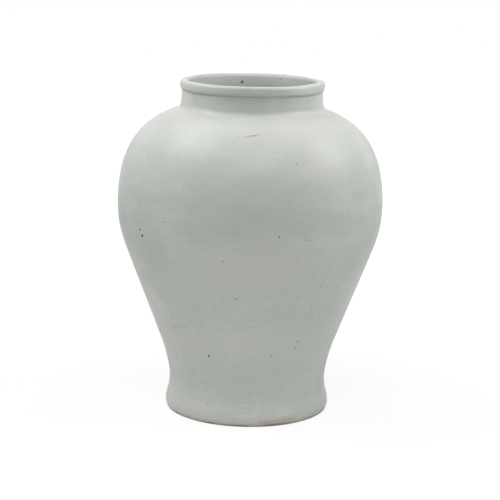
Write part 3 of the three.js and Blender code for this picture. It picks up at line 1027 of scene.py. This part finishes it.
# %% Specks and scars
DOT_EDGE = np.array((1.55, 0.45)) * MM
RING_EDGE = np.array((2.8, 1.4)) * MM


def known_specks(place):
    """The specks that the photograph shows: a mask of the dark dots, and one of the pale rings round them."""
    dots = rings = 0
    for centre, (_, _, size, strength) in all_specks:
        distance = place.away_from(centre)
        dots = (strength * distance.rising(*(size * DOT_EDGE))).most(dots)
        rings = (strength * distance.rising(*(size * RING_EDGE))).most(rings)
    return dots, rings


def scattered_specks(place, scale, share):
    """Small specks in this share of the cells of a Voronoi pattern, each of its own size."""
    cells = {"Vector": place, "Scale": scale}
    distance = place.node("ShaderNodeTexVoronoi", {}, cells, "Distance")
    chance = place.node("ShaderNodeTexVoronoi", {}, cells, "Color").along((1, 0, 0))
    return distance.rising(0.09, 0.03) * chance.rising(1 - share, 1 - 0.6 * share)


def stroke_mask(place, stroke):
    """1 along a stroke, fading to 0 at its half width."""
    start, end = on_outside((stroke[:2], stroke[2:4]))
    half_width = stroke[4] * MM
    return place.away_from_line(start, end).rising(half_width, 0.2 * half_width)


def scarred(colour, torn):
    """Dark strokes of scratches and of painted shade in grooves, grey dashes, painted highlights on the foot,
    and the brown scar on the shoulder under its painted highlight.
    """
    kinds = (
        (SCRATCHES_AND_GROOVE_SHADE, POOLED_GLAZE_AND_SHADE, 0.28), (SCAR_DASHES, SCAR_GREY, 0.5), (FOOT_GLEAMS, PALE_GLAZE_AND_HIGHLIGHT, 0.7),
        (SCAR, SCAR_BROWN, 0.7), (SCAR_GLEAMS, PALE_GLAZE_AND_HIGHLIGHT, 0.7),
    )
    for strokes, tint, strength in kinds:
        mask = 0
        for stroke in strokes:
            mask = stroke_mask(torn, stroke).most(mask)
        colour = layered(colour, (strength, mask, tint))
    return colour


# %% What both materials share
PEEL_DEPTH = 0.02 * MM
GRIT_DEPTH = 0.15 * MM
SHINE = 0.35


def upright_of(place):
    """The height above the ground and the distance from the axis."""
    return place.along((0, 0, 1)), place.vector("MULTIPLY", (1, 1, 0)).away_from((0, 0, 0))


def torn_place(place, reach):
    """The coordinates moved about by noise, so that the edges drawn in them are ragged."""
    wander = place.noise(320, 3, output="Color").vector("SUBTRACT", (0.5, 0.5, 0.5))
    return place.vector("ADD", wander.vector("MULTIPLY", (reach, reach, reach)))


def finish_material(place, colour, roughness, relief):
    """The shader at the end of a ceramic material: colour, roughness and the small relief as a bump."""
    bump = place.node("ShaderNodeBump", {}, {"Height": relief, "Strength": 1.0, "Distance": 1.0})
    sockets = {"Base Color": colour, "Roughness": roughness, "Specular IOR Level": SHINE, "Normal": bump}
    surface = place.node("ShaderNodeBsdfPrincipled", {}, sockets)
    place.node("ShaderNodeOutputMaterial", {}, {"Surface": surface})


def ceramic_relief(place, bare):
    """The relief of the surface: the fine peel of the glaze, and grit where the clay is bare."""
    return PEEL_DEPTH * place.noise(300, 2) + GRIT_DEPTH * bare * place.noise(900, 3)


# %% Put the glaze together
TORN_STROKES = 4 * MM
TORN_SPECKS = 2.6 * MM
COMB_DEPTH = 0.03 * MM
PIT_DEPTH = 0.15 * MM
BARE_EDGE = (3.6 * MM, -0.4 * MM)
UNDER_FOOT = ((107.5 * MM, 106 * MM), (21 * MM, 19 * MM))


def make_glaze():
    """The glaze with its bands, marks and bare foot, rougher and uneven where there is no glass."""
    material, place = new_material("celadon_glaze")
    height, radius = upright_of(place)
    torn = torn_place(place, TORN_STROKES)
    specks, rings = known_specks(torn_place(place, TORN_SPECKS))
    few_specks = 0.35 * scattered_specks(torn, 45, 0.12)
    fine_specks = 0.22 * scattered_specks(torn, 70, 0.5)
    behind = place.along((0, 1, 0)).rising(20 * MM, 90 * MM)
    back_specks = behind * scattered_specks(torn, 40, 0.04)
    bare = (height - 4 * MM * place.noise(22, 4)).rising(*BARE_EDGE)
    bare = bare.most(radius.rising(*UNDER_FOOT[0]) * height.rising(*UNDER_FOOT[1]))

    colour = thick_glaze(glaze_clouds(place), place, height)
    colour = mouth_glaze(neck_glaze(colour, place, height), place, radius, height)
    colour = cloud_tints(foot_glaze(colour, place, height), place)
    colour = scarred(colour, torn)
    colour = (0.4 * scattered_specks(torn, 75, 0.3)).most(0.55 * rings).tint(colour, PALE_GLAZE_AND_HIGHLIGHT)
    colour = specks.most(few_specks).most(fine_specks).most(back_specks).tint(colour, IRON)
    clay = place.noise(30, 4).rising(0.42, 0.62).tint(BARE_CLAY, TAN_CLAY)
    colour = bare.tint(colour, clay)

    combed = COMB_DEPTH * place.noise(20, 4, (0.5, 0.5, 12))
    relief = ceramic_relief(place, bare) + combed - PIT_DEPTH * specks
    roughness = 0.30 + 0.10 * place.noise(40, 3) + 0.5 * bare.most(0.5 * specks)
    finish_material(place, colour, roughness, relief)
    return material


# %% The clay of the floor slab
def make_bare_clay():
    """The floor slab: bare gritty clay underneath, and the inside's glaze on its upper face."""
    material, place = new_material("floor_clay")
    height, _ = upright_of(place)
    slab_middle = (slab_box[0].z + slab_box[1].z) / 2
    glazed = height.rising(slab_middle - 1 * MM, slab_middle + 1 * MM)
    clouds = place.noise(30, 4).rising(0.35, 0.65)
    clay = clouds.tint(BARE_CLAY, TAN_CLAY)
    pool = (0.5 * clouds).tint(INSIDE_GLAZE, GREEN_GLAZE)
    specks = 0.6 * scattered_specks(place, 60, 0.2)
    colour = specks.tint(glazed.tint(clay, pool), IRON)
    finish_material(place, colour, 0.85 - 0.5 * glazed, ceramic_relief(place, 1 - glazed))
    return material


glaze = make_glaze()
floor_clay = make_bare_clay()
jar_floor.data.materials.append(floor_clay)
for piece in (foot, lower_body, upper_body, neck, lip, floor_coil, seam_coil):
    piece.data.materials.append(glaze)
print(f"glaze made of {len(glaze.node_tree.nodes)} nodes")

# %% [markdown]
# ## The studio
# Large area lamps give soft light from above and from both sides. The floor and the world are white for the
# camera and add little light to the jar, so the floor still shows its shadow. In the glaze's reflections the
# floor is dim near the foot and bright further off.

# %% Lay the floor
FLOOR_HALF = 6.0
FLOOR_WHITE = rgb(0.8, 0.8, 0.8)
SHADOW_SHARE = 0.35
LIT_FLOOR = 0.68
NEAR_MIRROR = 0.1
FAR_MIRROR = 0.95
SHADOW_END = (0.5, 2.0)
MIRROR_RISE = (1.6, 2.6)
FLOOR_SINK = 0.05 * MM
WHITE = rgb(1, 1, 1)
BLACK = rgb(0, 0, 0)
floor_mesh = bpy.data.meshes.new("studio_floor")
corner_signs = np.array(((-1, -1, 0), (1, -1, 0), (1, 1, 0), (-1, 1, 0)))
floor_mesh.from_pydata((FLOOR_HALF * corner_signs - (0, 0, FLOOR_SINK)).tolist(), [], [(0, 1, 2, 3)])
floor = new_object("studio_floor", floor_mesh)


def seen_rays(value, mirrored):
    """1 on rays from the camera, mirrored on rays that a reflection or a glass sends out, 0 on all others."""
    seen = value.node("ShaderNodeLightPath", output="Is Camera Ray")
    for kind in ("Is Glossy Ray", "Is Transmission Ray"):
        seen = seen.most(mirrored * value.node("ShaderNodeLightPath", output=kind))
    return seen


# %% Make the floor white
floor_material, floor_place = new_material("white_floor")
distance = floor_place.away_from((0, 0, 0))
far = distance.rising(*SHADOW_END)
mirrored_floor = NEAR_MIRROR + (FAR_MIRROR - NEAR_MIRROR) * distance.rising(*MIRROR_RISE)
seen = seen_rays(floor_place, mirrored_floor)
glow_strength = seen * (1 - SHADOW_SHARE * LIT_FLOOR * (1 - far))
glow = floor_place.node("ShaderNodeEmission", {}, {"Color": WHITE, "Strength": glow_strength})
matte = floor_place.node("ShaderNodeBsdfDiffuse", {}, {"Color": FLOOR_WHITE})
dark = floor_place.node("ShaderNodeBsdfDiffuse", {}, {"Color": BLACK})
kept = floor_place.node("ShaderNodeMixShader", {}, {0: seen * (1 - SHADOW_SHARE), 1: matte, 2: dark})
both = floor_place.node("ShaderNodeAddShader", {}, {0: kept, 1: glow})
floor_place.node("ShaderNodeOutputMaterial", {}, {"Surface": both})
floor_mesh.materials.append(floor_material)
print(f"floor {2 * FLOOR_HALF:.0f} m wide")

# %% Light the room
AMBIENT = 0.2
DIM_ROOM = 0.2
CEILING_EDGE = (-0.15, 0.12)
world = bpy.data.worlds.new("studio")
world.use_nodes = True
world.node_tree.nodes.clear()
bpy.context.scene.world = world
air = Value(world.node_tree)
upward = air.node("ShaderNodeTexCoord", output="Generated").along((0, 0, 1))
ceiling_share = DIM_ROOM + (1 - DIM_ROOM) * upward.rising(*CEILING_EDGE)
strength = seen_rays(air, ceiling_share).most(AMBIENT)
sky = air.node("ShaderNodeBackground", {}, {"Color": WHITE, "Strength": strength})
air.node("ShaderNodeOutputWorld", {}, {"Surface": sky})
print(f"ambient light {AMBIENT}")

# %% Hang the lamps
LAMP_AIM = Vector((0, 0, 0.3))
# Each lamp: name, place, width, height, watts
LAMPS = (
    ("ceiling_box", (0, 0.1, 2.2), 2.2, 2.2, 5),
    ("left_back", (-0.70, 0.65, 1.84), 0.9, 0.9, 4),
    ("left_high", (-1.09, -0.10, 1.73), 0.9, 0.9, 11.8),
    ("right_back", (0.81, 0.97, 1.57), 0.9, 0.9, 1.2),
    ("right_high", (1.34, 0.07, 1.48), 0.9, 0.9, 10.3),
    ("right_low", (1.53, -0.27, 1.12), 0.6, 0.6, 2.4),
    ("left_wall", (-1.6, -0.9, 0.7), 1.4, 1.4, 1),
    ("front_top", (0, -1.7, 2.2), 1.6, 1.2, 17.7),
)


def softbox(name, place, width, height, watts):
    """An area lamp of this size, turned to face the jar."""
    lamp = bpy.data.lights.new(name, "AREA")
    lamp.shape = "RECTANGLE"
    lamp.size, lamp.size_y = width, height
    lamp.energy = watts
    box = new_object(name, lamp)
    way = LAMP_AIM - Vector(place)
    box.matrix_world = Matrix.Translation(place) @ way.to_track_quat("-Z", "Y").to_matrix().to_4x4()
    box.visible_camera = False


for lamp in LAMPS:
    softbox(*lamp)
bpy.context.scene.view_settings.view_transform = "Standard"
print(f"{len(LAMPS)} lamps")
